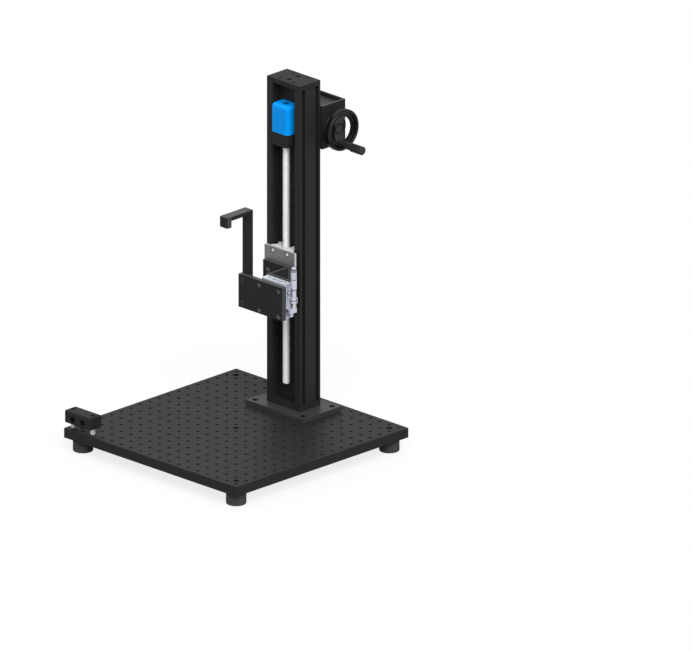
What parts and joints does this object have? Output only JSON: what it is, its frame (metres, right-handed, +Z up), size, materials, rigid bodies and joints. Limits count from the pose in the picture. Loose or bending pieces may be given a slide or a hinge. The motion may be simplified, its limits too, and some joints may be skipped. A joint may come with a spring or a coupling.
{
  "type": "manual camera positioning stage",
  "caption": "Perforated base board with an upright slotted column, crank-driven lead screw carriage, micrometer stage, camera plate and hooked arm.",
  "frame": {"origin": "centre of the bounding box on the plane the feet stand on", "axes": "+Z up along the column, +X to the handwheel's side, -Y to the front with the screw channel and the camera plate"},
  "size_m": [0.45, 0.4742, 0.694],
  "materials": {
    "black_anodised": "satin black anodised",
    "grey_anodised": "satin dark grey anodised",
    "white_slider": "plain white",
    "blue_cover": "semi-gloss bright blue",
    "ground_steel": "bright ground",
    "satin_alloy": "satin silver with a slight blue cast",
    "black_rubber": "matt black",
    "black_steel": "black oxide",
    "bronze": "sintered bronze",
    "gear_steel": "machined steel"
  },
  "bodies": {
    "base": {"breadboard": "black_anodised", "foot_front_left": "black_rubber", "foot_back_left": "black_rubber", "foot_front_right": "black_rubber", "foot_back_right": "black_rubber", "column_flange": "grey_anodised", "column_foot_plate": "black_anodised", "column_extrusion": "black_anodised", "column_top_plate": "black_anodised", "gear_head_block": "black_anodised", "gear_head_cover": "blue_cover", "screw_bearing": "gear_steel", "cross_bush_front": "bronze", "cross_bush_back": "bronze", "gear_housing": "black_anodised", "gear_housing_cover": "grey_anodised", "wheel_shaft_bush": "bronze", "dial_plate": "black_anodised", "corner_block": "black_anodised", "corner_post_left": "satin_alloy", "corner_post_right": "satin_alloy"},
    "handwheel": {"handwheel": "black_anodised", "handwheel_shaft": "ground_steel", "handwheel_gear": "gear_steel", "handle_spindle": "black_steel"},
    "crank_grip": {"crank_grip": "black_anodised"},
    "cross_shaft": {"cross_shaft": "ground_steel", "cross_shaft_front_gear": "gear_steel", "cross_shaft_back_gear": "gear_steel"},
    "lead_screw": {"lead_screw": "ground_steel", "lead_screw_gear": "gear_steel"},
    "carriage": {"carriage_slider": "white_slider", "carriage_nut": "bronze", "carriage_plate": "grey_anodised", "bracket_back_plate": "black_anodised", "bracket_web": "black_anodised", "bracket_front_plate": "black_anodised", "stage_base": "satin_alloy", "stage_rail": "ground_steel", "stage_gib": "ground_steel", "micrometer_holder": "satin_alloy", "micrometer_sleeve": "satin_alloy"},
    "stage_lock": {"stage_lock_screw": "black_steel"},
    "fine_stage": {"stage_plate": "satin_alloy", "micrometer_anvil": "satin_alloy", "camera_plate": "black_anodised", "arm_upright": "black_anodised", "arm_beam": "black_anodised", "hook_inner_plate": "black_anodised", "hook_outer_plate": "black_anodised"},
    "thimble": {"micrometer_thimble": "satin_alloy", "micrometer_knob": "satin_alloy", "micrometer_spindle": "ground_steel"}
  },
  "joints": [
    {"name": "handwheel_spin", "type": "hinge", "parent": "base", "child": "handwheel", "pos_m": [0.0619, 0.19712, 0.595], "axis": [1, 0, 0], "range_deg": [-22801, 19801]},
    {"name": "crank_grip_spin", "type": "hinge", "parent": "handwheel", "child": "crank_grip", "pos_m": [0.11, 0.19712, 0.567], "axis": [1, 0, 0], "continuous": true},
    {"name": "cross_shaft_spin", "type": "hinge", "parent": "base", "child": "cross_shaft", "pos_m": [0, 0.16, 0.595], "axis": [0, 1, 0], "range_deg": [-22801, 19801]},
    {"name": "lead_screw_spin", "type": "hinge", "parent": "base", "child": "lead_screw", "pos_m": [0, 0.12137, 0.35], "axis": [0, 0, 1], "range_deg": [-22801, 19801]},
    {"name": "carriage_slide", "type": "slide", "parent": "base", "child": "carriage", "axis": [0, 0, 1], "range_m": [-0.165, 0.19]},
    {"name": "stage_lock_turn", "type": "hinge", "parent": "carriage", "child": "stage_lock", "pos_m": [0.0913, 0.03667, 0.321], "axis": [1, 0, 0], "range_deg": [0, 90]},
    {"name": "fine_stage_slide", "type": "slide", "parent": "carriage", "child": "fine_stage", "axis": [0, 0, 1], "range_m": [-0.0065, 0.0065]},
    {"name": "thimble_spin", "type": "hinge", "parent": "fine_stage", "child": "thimble", "pos_m": [0.1, 0.04077, 0.3286], "axis": [0, 0, 1], "range_deg": [-4681, 4681]}
  ],
  "couplings": [
    {"joint": "lead_screw_spin", "follows": "carriage_slide", "rad_per_m": -2094.4},
    {"joint": "cross_shaft_spin", "follows": "carriage_slide", "rad_per_m": -2094.4},
    {"joint": "handwheel_spin", "follows": "carriage_slide", "rad_per_m": -2094.4},
    {"joint": "thimble_spin", "follows": "fine_stage_slide", "rad_per_m": 12566}
  ]
}
